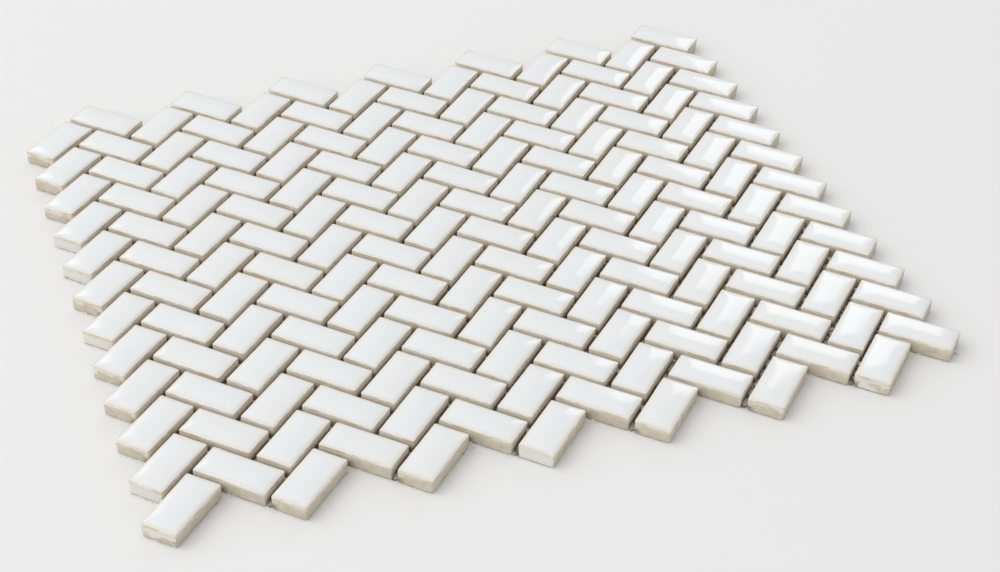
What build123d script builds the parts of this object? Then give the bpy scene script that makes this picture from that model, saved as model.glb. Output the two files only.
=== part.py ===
# Herringbone mosaic tile: glazed stoneware chips on a laid glass-fibre mesh, lying face up.
# Columns of chips run along Y and lean right and left by turns, which makes the zigzag along X.
# Millimetres. The mesh lies on Z = 0, and the origin is at the middle of the sheet's back.
import math
import os

from build123d import *

# Chips
chip_width = 15.0  # across a chip at its rim, where it is widest
joint_width = 2.0  # open joint between neighbouring chips
chip_thickness = 6.7
roll_radius = 3.2  # of the cushioned edge between the face and the rim
rim_slope = 34.0  # degrees that the cushioned edge has turned down where the roll ends
rim_run = 0.6  # width in plan of the straight slope from the roll's end to the rim
wall_draft = 4.0  # degrees that the walls lean in towards the back
corner_cut = 0.8  # leg of the flat across each upright corner
column_pairs = 7  # a pair is one right-leaning column and the left-leaning one beside it
rows = 12

# Mesh of flat yarns in two layers, the lower ones along X and the upper ones along Y
yarn_width = 0.9
yarn_thickness = 0.2
yarn_pitch = 5.0
mesh_setback = 0.6  # from the chips' outline in to the trimmed edge of the mesh
notch_web = 3.4  # depth of mesh left standing in the inner corners of the sawtooth edge

# A chip is as long as two chips and the joint between them, so the pattern locks.
chip_length = 2 * chip_width + joint_width
pitch = chip_width + joint_width
half_step = pitch / math.sqrt(2)
step = 2 * half_step  # from column to column, and from chip to chip down a column
stagger = half_step / 2  # left-leaning columns stand this far up, and the others as far down
columns = 2 * column_pairs
roll_run = roll_radius * math.sin(math.radians(rim_slope))
roll_drop = roll_radius * (1 - math.cos(math.radians(rim_slope)))
rim_drop = rim_run * math.tan(math.radians(rim_slope))
rim_height = chip_thickness - roll_drop - rim_drop
mesh_thickness = 2 * yarn_thickness

# Each edge of the sheet is a sawtooth at 45 degrees. Its tips lie this far from the middle.
edge_inset = joint_width / math.sqrt(2)
tip_x = (columns + 0.5) * half_step - edge_inset
tip_y = (rows + 1) * half_step - edge_inset


def rolled_section(across):
    # End view of a bar with the chip's face: flat, rolled over in an arc, then straight down the
    # slope through the rim and as far again beyond it.
    flat = across / 2 - rim_run - roll_run
    foot = across / 2 + rim_run
    right = CenterArc((flat, chip_thickness - roll_radius), roll_radius, 90 - rim_slope, rim_slope)
    left = CenterArc((-flat, chip_thickness - roll_radius), roll_radius, 90, rim_slope)
    top = Line((-flat, chip_thickness), (flat, chip_thickness))
    below = [(foot, rim_height - rim_drop), (foot, 0), (-foot, 0), (-foot, rim_height - rim_drop)]
    return make_face([right, top, left, Polyline(right @ 0, *below, left @ 1)])


def chip():
    # Length along X and back on Z = 0. The walls taper from the rim down to the back, and the face
    # is where two rolled bars cross, so its cushioned edges meet in mitres at the corners.
    outline = Pos(0, 0, rim_height) * chamfer(Rectangle(chip_length, chip_width).vertices(), corner_cut)
    body = extrude(outline, -rim_height, taper=wall_draft)
    body += extrude(outline, chip_thickness - rim_height, taper=-wall_draft)
    body &= extrude(Plane.YZ * rolled_section(chip_width), chip_length, both=True)
    body &= extrude(Plane.XZ * rolled_section(chip_length), chip_width, both=True)
    return body.solid()


def column_x(column):
    return (column - (columns - 1) / 2) * step


def row_y(row):
    return ((rows - 1) / 2 - row) * step


def chip_column(shape, column):
    leans_right = column % 2 == 0
    turn = 45 if leans_right else -45
    rise = -stagger if leans_right else stagger
    places = [Pos(column_x(column), row_y(row) + rise, mesh_thickness) for row in range(rows)]
    return Compound([place * Rot(0, 0, turn) * shape for place in places])


# Places of the tips along each edge, in rising order. The last column ends the bottom edge in half
# a notch, so that edge counts one tip more than it has teeth.
left_tips = sorted(row_y(row) - 2 * stagger for row in range(rows))
right_tips = sorted(row_y(row) for row in range(rows))
bottom_tips = [column_x(2 * pair) - stagger for pair in range(column_pairs + 1)]
top_tips = [column_x(2 * pair + 1) - stagger for pair in range(column_pairs)]


def notch_depth(tips):
    # From the tips in to where the mesh closes the notches between them.
    return (tips[1] - tips[0]) / 2 - notch_web


def stand_back(along, tips):
    # How far the trimmed edge lies behind its tips, at a place along it.
    nearest = min(abs(along - tip) for tip in tips)
    between_teeth = tips[0] < along < tips[-1]
    return min(nearest, notch_depth(tips)) if between_teeth else nearest


def yarn_runs(level, ends, end_reach, sides, side_reach):
    # Start and stop of each stretch of a yarn: one stretch through the sheet, or one on each tooth.
    start = stand_back(level, ends[0]) - end_reach
    stop = end_reach - stand_back(level, ends[1])
    for tips, depth in zip(sides, (side_reach + level, side_reach - level)):
        if depth < notch_depth(tips):
            runs = [(max(start, tip - depth), min(stop, tip + depth)) for tip in tips]
            return [run for run in runs if run[1] - run[0] > yarn_pitch]
    return [(start, stop)]


def yarn_layer(along_x):
    # All the yarns of one direction, flat strips that stop square at the trimmed edge.
    trim = mesh_setback * math.sqrt(2) + yarn_width / 2
    across, upright = (left_tips, right_tips), (bottom_tips, top_tips)
    ends, sides = (across, upright) if along_x else (upright, across)
    end_reach, side_reach = (tip_x - trim, tip_y - trim) if along_x else (tip_y - trim, tip_x - trim)
    on_floor = (Align.CENTER, Align.CENTER, Align.MIN)
    count = math.floor(side_reach / yarn_pitch)
    strips = []
    for index in range(-count, count):
        level = (index + 0.5) * yarn_pitch
        for start, stop in yarn_runs(level, ends, end_reach, sides, side_reach):
            strip = Box(stop - start, yarn_width, yarn_thickness, align=on_floor)
            strip = Pos((start + stop) / 2, level, 0) * strip
            strips.append(strip if along_x else mirrored_to_y(strip))
    return Compound(strips)


def mirrored_to_y(strip):
    # A strip laid along X is turned to lie along Y, on top of the lower layer.
    return Pos(0, 0, yarn_thickness) * mirror(strip, Plane((0, 0, 0), (0, 0, 1), (1, -1, 0)))


os.makedirs("parts", exist_ok=True)
one_chip = chip()
for number in range(columns):
    export_step(chip_column(one_chip, number), f"parts/chip_column_{number + 1:02d}.step")
export_step(yarn_layer(True), "parts/mesh_yarns_lower.step")
export_step(yarn_layer(False), "parts/mesh_yarns_upper.step")
print(f"chip {chip_length:.1f} x {chip_width:.1f} x {chip_thickness:.1f} mm")
print(f"sheet {2 * tip_x:.1f} x {2 * tip_y:.1f} x {chip_thickness + mesh_thickness:.1f} mm over the tips")
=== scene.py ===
import math
import random

import bmesh
import bpy
from mathutils import Matrix, Vector, noise


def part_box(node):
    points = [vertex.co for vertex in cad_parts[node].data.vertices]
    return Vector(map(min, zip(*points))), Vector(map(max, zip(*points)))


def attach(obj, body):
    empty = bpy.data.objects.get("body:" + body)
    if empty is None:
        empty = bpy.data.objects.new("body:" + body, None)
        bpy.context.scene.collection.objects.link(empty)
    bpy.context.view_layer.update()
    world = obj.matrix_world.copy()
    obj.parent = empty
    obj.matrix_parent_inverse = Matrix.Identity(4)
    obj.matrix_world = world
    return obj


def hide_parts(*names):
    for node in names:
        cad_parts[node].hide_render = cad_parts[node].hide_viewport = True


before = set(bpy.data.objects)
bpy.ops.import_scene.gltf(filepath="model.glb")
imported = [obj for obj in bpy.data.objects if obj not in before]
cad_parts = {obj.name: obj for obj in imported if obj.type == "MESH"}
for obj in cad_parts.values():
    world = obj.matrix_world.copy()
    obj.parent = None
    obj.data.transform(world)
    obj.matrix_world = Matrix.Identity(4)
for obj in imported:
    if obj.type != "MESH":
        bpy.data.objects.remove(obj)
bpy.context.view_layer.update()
mm = 0.001
print("frame loaded,", len(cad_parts), "nodes")


# Shader maths: a wire is a node's output, and an expression on wires adds Math nodes to its tree
class Wire:
    def __init__(self, tree, socket=None):
        self.tree = tree
        self.socket = socket

    # any node: its type, its settings, then its inputs by name or number; gives the chosen output
    def node(self, kind, settings, inputs, output=0):
        made = self.tree.nodes.new(kind)
        for key, value in settings.items():
            setattr(made, key, value)
        for key, value in inputs.items():
            if isinstance(value, Wire):
                self.tree.links.new(value.socket, made.inputs[key])
            else:
                made.inputs[key].default_value = value
        return Wire(self.tree, made.outputs[output]) if made.outputs else None

    def maths(self, operation, first, second):
        return self.node("ShaderNodeMath", {"operation": operation}, {0: first, 1: second})

    def __add__(self, other):
        return self.maths("ADD", self, other)

    def __radd__(self, other):
        return self.maths("ADD", other, self)

    def __sub__(self, other):
        return self.maths("SUBTRACT", self, other)

    def __rsub__(self, other):
        return self.maths("SUBTRACT", other, self)

    def __mul__(self, other):
        return self.maths("MULTIPLY", self, other)

    def __rmul__(self, other):
        return self.maths("MULTIPLY", other, self)


def newMaterial(name):
    material = bpy.data.materials.new(name)
    material.use_nodes = True
    material.node_tree.nodes.clear()
    return material, Wire(material.node_tree)


def paint(start, inputs):
    shader = start.node("ShaderNodeBsdfPrincipled", {}, inputs)
    start.node("ShaderNodeOutputMaterial", {}, {"Surface": shader})


def attributeOf(start, name):
    return start.node("ShaderNodeAttribute", {"attribute_name": name}, {}, "Fac")


def mottle(place, scale, detail=2.0, roughness=0.5):
    settings = {"Vector": place, "Scale": scale, "Detail": detail, "Roughness": roughness}
    return place.node("ShaderNodeTexNoise", {}, settings, "Fac")


def eased(value, low, high):  # 0 below low, 1 above high
    ends = {"Value": value, "From Min": low, "From Max": high}
    return value.node("ShaderNodeMapRange", {"interpolation_type": "SMOOTHSTEP"}, ends)


def blend(share, first, second):
    return share.node("ShaderNodeMix", {"data_type": "RGBA"}, {0: share, 6: first, 7: second}, 2)


glaze = {
    "face": (0.81, 0.835, 0.845, 1),
    "faceWarm": (0.815, 0.83, 0.83, 1),
    "faceEdge": (0.755, 0.715, 0.635, 1),  # where it thins out beside the rim, and painted shade for the darker reflection on the near shoulders
    "band": (0.82, 0.785, 0.71, 1),  # thin coat on the bevel under the rim, with the body showing through
    "gold": (0.64, 0.52, 0.34, 1),  # the same where it is thinnest
    "veilAndBounce": (0.93, 0.87, 0.775, 1),  # thinner still on the top of the walls, and painted bounce light on the upper walls of the joints
    "run": (0.75, 0.735, 0.69, 1),  # where it ran down a wall
    "rimLine": (0.50, 0.39, 0.24, 1),  # where it breaks over the rim
    "gloss": 0.11,
    "tintAndShade": 0.85,  # how much of the body shows through beside the rim, made strong enough to hold painted shade of the near shoulders too
    "tintAndShadeReach": 2.3,  # mm
    "ragged": 0.5,  # unevenness of the lines along the rim, mm
}
stoneware = {
    "light": (0.665, 0.60, 0.485, 1),
    "dark": (0.54, 0.47, 0.36, 1),
    "speck": (0.40, 0.31, 0.21, 1),
    "jointShade": (0.15, 0.11, 0.075, 1),  # painted shade in the depth of the joints
    "jointShadeDepth": (2.5, 4.3),  # mm below the rim where the painted shade starts and where it is full
    "matt": 0.85,
}
# Noise scales of the chips' finish, by what they spread
grain = {
    "broad": 260.0,
    "fine": 1500.0,
    "pores": 5200.0,
    "specks": 1900.0,
    "patches": 200.0,  # of glaze that ran down a wall
    "crumbs": 42.0,  # rough stretches of rim
    "gold": 110.0,  # thin places in the coat on the bevel
}


def glazedStoneware():
    material, start = newMaterial("glazed_stoneware")
    place = start.node("ShaderNodeTexCoord", {}, {}, "Object")
    rise = attributeOf(start, "rise")  # mm in from the rim over the face, negative down the wall
    run = attributeOf(start, "run")  # mm that the glaze has run down the wall here
    tone = attributeOf(start, "tone")  # 0 to 1, one value for a whole chip
    joint = attributeOf(start, "joint")  # 1 on a wall that faces another chip
    broad = mottle(place, grain["broad"])
    fine = mottle(place, grain["fine"], 4.0, 0.65)
    pores = mottle(place, grain["pores"], 3.0, 0.7)
    # bare body with a few dark specks, paler below the rim under a thin coat, lightened on the upper walls
    # of the joints by painted bounce light and darkened in their depth by painted shade
    clay = blend(eased(broad * 0.6 + fine * 0.4, 0.3, 0.7), stoneware["dark"], stoneware["light"])
    clay = blend(eased(mottle(place, grain["specks"], 1.0, 0.4), 0.70, 0.75), clay, stoneware["speck"])
    # thin coat on the tops of all walls; on walls that face another chip it reaches deeper and is stronger,
    # as painted bounce light
    clay = blend(eased(rise, -2.9 - joint, -0.6) * (joint * 0.7 + 0.22), clay, glaze["veilAndBounce"])
    # painted shade: walls that face another chip get darker towards the back
    paintedJointShade = joint * (1 - eased(rise, -stoneware["jointShadeDepth"][1], -stoneware["jointShadeDepth"][0]))
    clay = blend(paintedJointShade * 0.75, clay, stoneware["jointShade"])
    # glaze that ran down the wall, whole or in patches
    patch = eased(mottle(place, grain["patches"], 2.0, 0.4), 0.4, 0.6)
    ran = eased(run * (patch * 1.2 + 0.4) + rise, -0.2, 0.2) * (1 - eased(rise, -1.1, -0.9))
    colour = blend(ran, clay, glaze["run"])
    # thin coat on the bevel, with a darker line along its hem
    crumbly = eased(mottle(place, grain["crumbs"], 1.0, 0.4), 0.60, 0.66)
    waver = ((broad - 0.5) * glaze["ragged"] + (fine - 0.5) * 0.3) * (crumbly * 2.0 + 1.0)
    band = blend(eased(mottle(place, grain["gold"]), 0.46, 0.62) * 0.75, glaze["band"], glaze["gold"])
    hem = rise + waver + chip["bevelHeight"]
    banded = eased(hem, -0.1, 0.1)
    hemLine = eased(hem, -0.25, -0.02) * (1 - eased(hem, 0.02, 0.2))
    colour = blend(hemLine * 0.5, blend(banded, colour, band), stoneware["dark"])
    crumbs = crumbly * eased(fine, 0.5, 0.6) * eased(rise, -2.4, -0.4)
    colour = blend(crumbs * 0.7, colour, glaze["run"])
    # full coat on the face, and the thin line where it breaks over the rim
    edge = rise + waver * 0.6
    full = eased(edge, -0.08, 0.12)
    # body showing through the thin coat beside the rim, partly painted shade standing in for the darker
    # reflection on the near shoulders
    tintAndShade = (1 - eased(edge, 0.0, glaze["tintAndShadeReach"])) * glaze["tintAndShade"]
    face = blend(tintAndShade, blend(tone, glaze["face"], glaze["faceWarm"]), glaze["faceEdge"])
    colour = blend(full, colour, face)
    line = eased(edge, -0.2, 0.0) * (1 - eased(edge, 0.05, 0.25)) * eased(broad, 0.38, 0.62)
    colour = blend(line, colour, glaze["rimLine"])
    smooth = full * 0.5 + banded * 0.5 + ran
    rough = stoneware["matt"] + smooth * (glaze["gloss"] - stoneware["matt"])
    height = (1 - smooth) * (pores * 0.5 + fine * 0.5) + smooth * 0.6
    bump = start.node("ShaderNodeBump", {}, {"Strength": 0.35, "Distance": 0.00012, "Height": height})
    paint(start, {"Base Color": colour, "Roughness": rough, "Normal": bump, "IOR": 1.52})
    return material


# Chip sizes in mm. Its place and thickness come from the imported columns.
chip = {
    "width": 15.0,
    "joint": 2.0,
    "endSlack": 0.45,  # the glazed chip is this much shorter at each end than the nominal one
    "corner": 0.65,  # radius of the upright corners
    "cornerSteps": 3,
    "endCuts": 4,
    "sideCuts": 9,
    "rimHeight": 5.75,  # of the white face's edge above the back
    "bevelHeight": 0.8,  # of the cream bevel below it
    "bevelRun": 0.08,
    "shoulder": 1.75,  # width of the cushioned edge
    "shoulderSteps": 5,
    "cushion": 2.6,  # power of the cushioned edge's curve
    "ridge": 4.96,  # half width of the rounded ridge that runs along the face
    "ridgeFall": 0.77,
    "endReach": 14.0,  # from the middle to where the face has fallen by endFall towards its ends
    "endFall": 0.55,
    "endPower": 4.6,
    "draft": 0.2,  # how far the wall leans in from the rim to the back
    "footRound": 0.2,
    "wobble": 0.09,  # unevenness of the glazed edge
    "wobbleScale": 0.35,
    "wobbleReach": 1.2,  # from the rim to where it has mostly gone
    "wobbleLift": 0.7,  # part of it that goes up and down
    "swell": 0.02,  # unevenness of the face
    "swellScale": 0.11,
    "swellDepth": 1.0,  # below the rim to where it reaches
    "shift": 0.22,  # how far a chip may sit from its true place
    "turn": 0.55,  # degrees
    "tilt": 0.25,  # degrees
    "tiltDepth": 1.5,  # below the rim to where the tilt reaches, so that the back stays flat on the mesh
    "endDepth": 0.35,  # what lies this near the front end takes its run of glaze
    "wallDepth": 0.8,  # what lies this near a side or an end is on that wall
    "lookAcross": 3.4,  # from a wall to a place that is on the next chip, if there is one
    "seed": 7,
}
chipLength = 2 * chip["width"] + chip["joint"]
halfX = chipLength / 2 - chip["endSlack"]
halfY = chip["width"] / 2
# How far the glaze ran down the front end of some right-leaning chips, by column and row, in mm
endRuns = {
    (0, 0): 1.6, (0, 2): 1.6, (0, 3): 16, (0, 4): 12, (0, 5): 1.6, (0, 6): 14, (0, 7): 2.2, (0, 9): 1.4,
    (0, 10): 12, (0, 11): 3.2, (6, 11): 16, (10, 11): 1.8, (12, 11): 4.5,
}
# Drips at the foremost corner of some left-leaning ones: how far round the corner and how far down
drips = {(1, 11): (3.2, 2.0), (3, 11): (0.5, 5.0), (9, 11): (0.5, 5.0), (11, 11): (3.0, 2.2)}
# Chips near the right front corner that sit out of line, by column and row: along and across, in mm
strays = {
    (9, 11): (0.6, -0.5), (10, 11): (-0.5, -0.7), (11, 10): (0.0, -0.4), (11, 11): (0.4, -0.3),
    (12, 11): (0.0, 0.4), (13, 10): (-0.4, 0.3), (13, 11): (-0.8, 0.0),
}


def wallProfile():
    # height above the back, inset from the widest line and way in from the rim, negative on the wall
    rim, draft, foot = chip["rimHeight"], chip["draft"], chip["footRound"]
    ledge, run = rim - chip["bevelHeight"], chip["bevelRun"]
    levels = [
        (0.0, draft + foot),
        (foot * 0.3, draft + foot * 0.3),
        (foot, draft),
        (ledge * 0.5, draft * 0.5),
        (ledge - 0.2, 0.03),
        (ledge, 0.0),
        (ledge + chip["bevelHeight"] * 0.35, run * 0.22),
        (rim - 0.15, run * 0.75),
        (rim, run),
    ]
    return [(height, inset, height - rim) for height, inset in levels]


def faceProfile():
    steps = chip["shoulderSteps"]
    ways = [chip["shoulder"] * (step / steps) ** 1.25 for step in range(1, steps + 1)]
    left = halfY - chip["bevelRun"] - chip["shoulder"]
    ways += [chip["shoulder"] + left * share for share in (0.35, 0.68, 0.93)]
    return [(chip["rimHeight"], chip["bevelRun"] + way, way) for way in ways]


def crownHeight(x, y, inset, thickness):
    # a rounded ridge that also falls towards its ends, carried down to the rim by the cushioned edge
    across = chip["ridgeFall"] * (math.hypot(1, y / chip["ridge"]) - 1)
    along = chip["endFall"] * abs(x / chip["endReach"]) ** chip["endPower"]
    crown = thickness - across - along + across * along
    share = 1 - max(0.0, 1 - inset / chip["shoulder"]) ** chip["cushion"]
    return chip["rimHeight"] + (crown - chip["rimHeight"]) * share


def chipBlank(thickness):
    # one chip, length along X, back on Z = 0, in mm
    bm = bmesh.new()
    riseLayer = bm.verts.layers.float.new("rise")
    bmesh.ops.create_grid(bm, x_segments=1, y_segments=1, size=1.0)
    bmesh.ops.scale(bm, vec=(halfX, halfY, 1), verts=bm.verts)
    bmesh.ops.bevel(bm, geom=bm.verts[:], offset=chip["corner"], offset_type="OFFSET",
                    segments=chip["cornerSteps"], profile=0.5, affect="VERTICES", material=-1)
    for axis, cuts in ((0, chip["sideCuts"]), (1, chip["endCuts"])):
        long = 3 * chip["corner"]
        straight = [e for e in bm.edges if abs(e.verts[0].co[axis] - e.verts[1].co[axis]) > long]
        bmesh.ops.subdivide_edges(bm, edges=straight, cuts=cuts)
    top = bm.faces[:]
    inset = 0.0
    for number, (height, nextInset, rise) in enumerate(wallProfile() + faceProfile()):
        if number:
            made = bmesh.ops.extrude_face_region(bm, geom=top)["geom"]
            if number > 1:
                bmesh.ops.delete(bm, geom=top, context="FACES_ONLY")
            top = [g for g in made if isinstance(g, bmesh.types.BMFace)]
        ring = list({v for f in top for v in f.verts})
        size = ((halfX - nextInset) / (halfX - inset), (halfY - nextInset) / (halfY - inset), 1)
        bmesh.ops.scale(bm, vec=size, verts=ring)
        for vert in ring:
            vert.co.z = crownHeight(vert.co.x, vert.co.y, rise, thickness) if rise > 0 else height
            vert[riseLayer] = rise
        inset = nextInset
    bmesh.ops.recalc_face_normals(bm, faces=bm.faces)
    blank = bpy.data.meshes.new("chip_blank")
    bm.to_mesh(blank)
    bm.free()
    return blank


def columnPlaces(number, node):
    # middle of each chip's back and its lean
    low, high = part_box(node)
    reach = (high.x - low.x) / 2  # half of a leaning chip's extent, the same in X and Y
    spacing = math.sqrt(2) * (chip["width"] + chip["joint"]) * mm
    rows = round((high.y - low.y - 2 * reach) / spacing) + 1
    lean = math.radians(45 if number % 2 == 0 else -45)
    middle = (low.x + high.x) / 2
    return [(Vector((middle, high.y - reach - row * spacing, low.z)), lean) for row in range(rows)]


def facesChip(key, x, y):
    # whether a place on the wall of one chip looks across a joint to another
    sides = (x, halfX), (y, halfY)
    across = [math.copysign(chip["lookAcross"], way) if abs(way) > half - chip["wallDepth"] else 0
              for way, half in sides]
    place, lean = chipPlaces[key]
    spot = place + Matrix.Rotation(lean, 3, "Z") @ Vector((x + across[0], y + across[1], 0)) * mm
    for column in range(key[0] - 1, key[0] + 2):
        for row in range(key[1] - 2, key[1] + 3):
            if (column, row) == key or (column, row) not in chipPlaces:
                continue
            other, otherLean = chipPlaces[column, row]
            away = Matrix.Rotation(-otherLean, 3, "Z") @ (spot - other) / mm
            if abs(away.x) < halfX and abs(away.y) < halfY:
                return 1.0
    return 0.0


def settleChip(verts, layers, rng, key):
    # unevenness of one chip and its runs of glaze, before it is laid in its place
    rise, run, tone, joint = layers
    facing = {}
    chipTone = rng.random()
    offset = Vector((rng.uniform(-500, 500), rng.uniform(-500, 500), rng.uniform(-500, 500)))
    for vert in verts:
        vert[tone] = chipTone
        if vert[rise] < 0:
            spot = round(vert.co.x), round(vert.co.y)
            if spot not in facing:
                facing[spot] = facesChip(key, vert.co.x, vert.co.y)
            vert[joint] = facing[spot]
        if vert.co.x < chip["endDepth"] - halfX:
            vert[run] = endRuns.get(key, 0.0)
        dripReach, dripRun = drips.get(key, (0.0, 0.0))
        if (vert.co.xy - Vector((halfX, -halfY))).length < dripReach:
            vert[run] = dripRun
        near = math.exp(-(vert[rise] / chip["wobbleReach"]) ** 2)
        wave = noise.noise_vector((vert.co + offset) * chip["wobbleScale"]) * chip["wobble"] * near
        vert.co.x += wave.x
        vert.co.y += wave.y
        if vert[rise] > -chip["swellDepth"]:
            swell = noise.noise((vert.co + offset) * chip["swellScale"]) - 1
            vert.co.z += wave.z * chip["wobbleLift"] + swell * chip["swell"]


def chipColumn(blank, number, node):
    rng = random.Random(chip["seed"] * 100 + number)
    bm = bmesh.new()
    layers = [bm.verts.layers.float.new(name) for name in ("rise", "run", "tone", "joint")]
    rows = [key[1] for key in chipPlaces if key[0] == number]
    for row in rows:
        start = len(bm.verts)
        bm.from_mesh(blank)
        bm.verts.ensure_lookup_table()
        verts = bm.verts[start:]
        settleChip(verts, layers, rng, (number, row))
        shift = Vector((rng.uniform(-1, 1), rng.uniform(-1, 1), 0)) * chip["shift"] * mm
        turn = math.radians(rng.uniform(-1, 1) * chip["turn"])
        tilt = [math.radians(rng.uniform(-1, 1) * chip["tilt"]) for axis in range(2)]
        truePlace, lean = chipPlaces[number, row]
        stray = Vector((*strays.get((number, row), (0.0, 0.0)), 0)) * mm
        place = truePlace + shift + Matrix.Rotation(lean, 3, "Z") @ stray
        laid = Matrix.Translation(place) @ Matrix.Rotation(lean + turn, 4, "Z") @ Matrix.Scale(mm, 4)
        bmesh.ops.transform(bm, matrix=laid, verts=verts)
        for vert in verts:
            if vert[layers[0]] > -chip["tiltDepth"]:
                vert.co.z += tilt[0] * (vert.co.x - place.x) + tilt[1] * (vert.co.y - place.y)
    return finishPiece(bm, f"glazed_column_{number + 1:02d}", chipMaterial, [node])


def finishPiece(bm, name, material, nodes):
    mesh = bpy.data.meshes.new(name)
    bm.to_mesh(mesh)
    bm.free()
    for polygon in mesh.polygons:
        polygon.use_smooth = True
    mesh.materials.append(material)
    piece = bpy.data.objects.new(name, mesh)
    bpy.context.scene.collection.objects.link(piece)
    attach(piece, "root")
    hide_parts(*nodes)
    return piece


chipMaterial = glazedStoneware()
columnNodes = sorted(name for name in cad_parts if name.startswith("chip_column_"))
columnLow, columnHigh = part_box(columnNodes[0])
chipPlaces = {
    (number, row): place
    for number, node in enumerate(columnNodes)
    for row, place in enumerate(columnPlaces(number, node))
}
blank = chipBlank((columnHigh.z - columnLow.z) / mm)
noise.seed_set(chip["seed"])  # noise_vector starts from the clock otherwise
for number, node in enumerate(columnNodes):
    chipColumn(blank, number, node)
print("chips laid,", len(blank.polygons), "faces each")


yarn = {
    "colour": (0.90, 0.895, 0.875, 1),
    "shade": (0.80, 0.79, 0.76, 1),
    "underChipShade": (0.26, 0.21, 0.155, 1),  # painted shade on the yarns under the chips, for the dark depth of the joints
    "underChipShadeReach": (0.160, 0.130),  # from the middle, in metres along X and Y
    "notch": (-0.1382, 0.0240, 0.0045),  # one in the front edge: its X, half the way to the next, half width
    "notchReach": (0.166, 0.136),  # ends of yarns nearer the middle than this lie in a notch
    "matt": 0.6,
    "sides": 8,
    "stride": 0.010,  # length of one straight bit, in metres
    "wave": 0.14,  # how far a yarn strays sideways, mm
    "waveScale": 60,
    "frayShare": 0.55,  # part of the ends that have come apart
    "frayLength": (1.0, 2.6),  # mm, in the notches
    "fuzzLength": (0.2, 0.7),  # elsewhere
    "frayThick": 0.18,
    "frayStrands": 3,
    "fraySides": 5,
    "fraySpread": 14,  # degrees from strand to strand
    "frayStray": 6,  # degrees
    "seed": 3,
}
# A thread end that sticks out at the right end of the foremost chip of the last column: which yarn's end,
# found by its place in metres, and how far it sticks out in mm
looseEnd = {"near": (0.1685, -0.1390), "reach": 0.004, "length": 2.6}


def yarnFibre():
    material, start = newMaterial("mesh_yarn")
    place = start.node("ShaderNodeTexCoord", {}, {}, "Object")
    fine = mottle(place, 2600.0, 4.0, 0.7)
    colour = blend(eased(fine, 0.35, 0.65), yarn["shade"], yarn["colour"])
    # white only beyond the chips: along the two sides, and in the notches of the front and back; under the
    # chips painted shade
    x, y = [place.node("ShaderNodeSeparateXYZ", {}, {0: place}, axis) for axis in "XY"]
    beyond = [eased(place.maths("ABSOLUTE", way, 0.0), reach - 0.001, reach + 0.001)
              for way, reach in zip((x, y), yarn["underChipShadeReach"])]
    first, half, width = yarn["notch"]
    fromNotch = place.maths("PINGPONG", x - first - place.maths("GREATER_THAN", y, 0.0) * half, half)
    inNotch = 1 - eased(fromNotch, width - 0.0005, width + 0.0005)
    free = place.maths("MAXIMUM", beyond[0], beyond[1] * inNotch)
    # painted shade on the yarns under the chips
    colour = blend(free, yarn["underChipShade"], colour)
    bump = place.node("ShaderNodeBump", {}, {"Strength": 0.5, "Distance": 0.0001, "Height": fine})
    paint(place, {"Base Color": colour, "Roughness": yarn["matt"], "Normal": bump})
    return material


def stripBoxes(node):
    # low and high corner of each separate strip in a packed layer of yarns
    bm = bmesh.new()
    bm.from_mesh(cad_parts[node].data)
    bmesh.ops.remove_doubles(bm, verts=bm.verts, dist=1e-6)
    seen = set()
    boxes = []
    for first in bm.verts:
        if first in seen:
            continue
        island = [first]
        seen.add(first)
        for vert in island:
            fresh = [e.other_vert(vert) for e in vert.link_edges if e.other_vert(vert) not in seen]
            seen.update(fresh)
            island.extend(dict.fromkeys(fresh))
        corners = [[pick(v.co[axis] for v in island) for axis in range(3)] for pick in (min, max)]
        boxes.append((Vector(corners[0]), Vector(corners[1])))
    bm.free()
    return boxes


def thread(bm, middle, size, axis, sides):
    # a round bar of this size along X or Y
    turned = Matrix.Rotation(math.radians(90), 4, "YX"[axis])
    shaped = Matrix.Translation(middle) @ Matrix.Diagonal((*size, 1)) @ turned
    made = bmesh.ops.create_cone(bm, cap_ends=True, cap_tris=False, segments=sides,
                                 radius1=0.5, radius2=0.5, depth=1.0, matrix=shaped)
    return made["verts"]


def layYarn(bm, low, high, rng):
    size = high - low
    axis = 0 if size.x > size.y else 1
    one = bmesh.new()
    thread(one, (low + high) / 2, size, axis, yarn["sides"])
    long = [e for e in one.edges if e.calc_length() > size[axis] * 0.9]
    bmesh.ops.subdivide_edges(one, edges=long, cuts=int(size[axis] / yarn["stride"]))
    offset = rng.uniform(-50, 50)
    for vert in one.verts:
        stray = noise.noise((vert.co[axis] * yarn["waveScale"], offset, 0)) * yarn["wave"] * mm
        vert.co[1 - axis] += stray
    for end in (low, high):
        tip = (low + high) / 2
        tip[axis] = end[axis]
        if (tip.xy - Vector(looseEnd["near"])).length < looseEnd["reach"]:
            fray(one, tip, axis, looseEnd["length"], rng)
        elif rng.random() < yarn["frayShare"]:
            notched = all(abs(way) < reach for way, reach in zip(tip, yarn["notchReach"]))
            fray(one, tip, axis, rng.uniform(*yarn["frayLength" if notched else "fuzzLength"]), rng)
    spare = bpy.data.meshes.new("one_yarn")
    one.to_mesh(spare)
    one.free()
    bm.from_mesh(spare)
    bpy.data.meshes.remove(spare)


def fray(bm, tip, axis, length, rng):
    for number in range(yarn["frayStrands"]):
        reach = length * rng.uniform(0.6, 1.0) * mm
        thick = yarn["frayThick"] * mm
        size = Vector((thick, thick, thick))
        size[axis] = reach * 2
        verts = thread(bm, tip, size, axis, yarn["fraySides"])
        middle = (yarn["frayStrands"] - 1) // 2
        angle = (number - middle) * yarn["fraySpread"] + rng.uniform(-yarn["frayStray"], yarn["frayStray"])
        bmesh.ops.rotate(bm, cent=tip, matrix=Matrix.Rotation(math.radians(angle), 3, "Z"), verts=verts)


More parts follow.
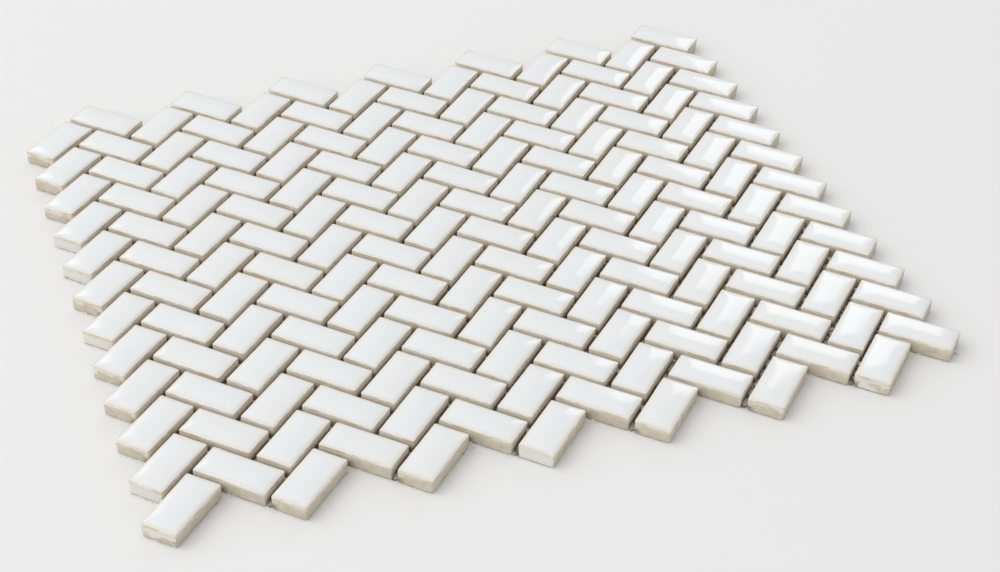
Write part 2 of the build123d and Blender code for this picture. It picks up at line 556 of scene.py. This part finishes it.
def layMesh():
    bm = bmesh.new()
    rng = random.Random(yarn["seed"])
    layers = ["mesh_yarns_lower", "mesh_yarns_upper"]
    boxes = [box for node in layers for box in stripBoxes(node)]
    for low, high in boxes:
        layYarn(bm, low, high, rng)
    bmesh.ops.recalc_face_normals(bm, faces=bm.faces)
    piece = finishPiece(bm, "mesh_yarns", yarnFibre(), layers)
    print("mesh laid,", len(boxes), "yarns")


layMesh()

floorFinish = {
    "colour": (0.82, 0.82, 0.82, 1),
    "matt": 0.7,
    "size": 12.0,  # from the middle to each side, in metres
    "drop": 0.05,  # below the mesh, mm
}


# Floor, lights and camera
def studioFloor():
    bm = bmesh.new()
    bmesh.ops.create_grid(bm, x_segments=1, y_segments=1, size=floorFinish["size"])
    bmesh.ops.translate(bm, vec=(0, 0, -floorFinish["drop"] * mm), verts=bm.verts)
    mesh = bpy.data.meshes.new("floor")
    bm.to_mesh(mesh)
    bm.free()
    material, start = newMaterial("studio_floor")
    paint(start, {"Base Color": floorFinish["colour"], "Roughness": floorFinish["matt"]})
    mesh.materials.append(material)
    floor = bpy.data.objects.new("floor", mesh)
    bpy.context.scene.collection.objects.link(floor)


lamps = {
    # aim along X, bearing from +Y towards +X and height in degrees, distance, size, face brightness
    "keyLeft": {"aim": 0.0, "bearing": -82, "height": 42, "away": 4.0, "size": (5.4, 4.4), "shine": 1.47},
    "boxRight": {"aim": 0.08, "bearing": 36, "height": 30.5, "away": 2.0, "size": (0.5, 0.66), "shine": 1.8},
    "boxLeft": {"aim": -0.16, "bearing": -6, "height": 33, "away": 2.0, "size": (0.36, 0.50), "shine": 1.55},
}
skyLight = {"colour": (1.0, 1.0, 1.0, 1), "strength": 0.665}


def softBox(name, facts):
    bearing = math.radians(facts["bearing"])
    height = math.radians(facts["height"])
    level = math.cos(height)
    towards = Vector((math.sin(bearing) * level, math.cos(bearing) * level, math.sin(height)))
    data = bpy.data.lights.new(name, "AREA")
    data.shape = "RECTANGLE"
    data.size, data.size_y = facts["size"]
    data.energy = facts["shine"] * math.pi * data.size * data.size_y  # face brightness to watts
    lamp = bpy.data.objects.new(name, data)
    lamp.location = Vector((facts["aim"], 0, 0)) + towards * facts["away"]
    lamp.rotation_euler = towards.to_track_quat("Z", "Y").to_euler()
    bpy.context.scene.collection.objects.link(lamp)


def studioWorld():
    world = bpy.data.worlds.new("studio")
    bpy.context.scene.world = world
    world.use_nodes = True
    shade = world.node_tree.nodes["Background"]
    shade.inputs["Color"].default_value = skyLight["colour"]
    shade.inputs["Strength"].default_value = skyLight["strength"]


view = {
    "bearing": -21.14,  # degrees round from -Y, looking along +Y at 0
    "height": 35.51,  # degrees above the horizon
    "away": 0.8291,
    "target": (0.00055, -0.04338, 0.0055),
    "roll": 2.315,  # degrees that the right side of the picture is tipped up
    "focal": 70.55,
}


def studioCamera():
    bearing = math.radians(view["bearing"])
    height = math.radians(view["height"])
    level = math.cos(height)
    back = Vector((math.sin(bearing) * level, -math.cos(bearing) * level, math.sin(height)))
    right = Vector((0, 0, 1)).cross(back).normalized()
    up = back.cross(right)
    roll = math.radians(view["roll"])
    tipped = right * math.cos(roll) + up * math.sin(roll)
    axes = Matrix((tipped, back.cross(tipped), back)).transposed()
    data = bpy.data.cameras.new("camera")
    data.lens = view["focal"]
    data.sensor_width = 36.0
    camera = bpy.data.objects.new("camera", data)
    camera.matrix_world = Matrix.Translation(Vector(view["target"]) + back * view["away"]) @ axes.to_4x4()
    bpy.context.scene.collection.objects.link(camera)
    bpy.context.scene.camera = camera


studioFloor()
for lampName, lampFacts in lamps.items():
    softBox(lampName, lampFacts)
studioWorld()
studioCamera()
bpy.context.scene.view_settings.view_transform = "Standard"
print("studio set")
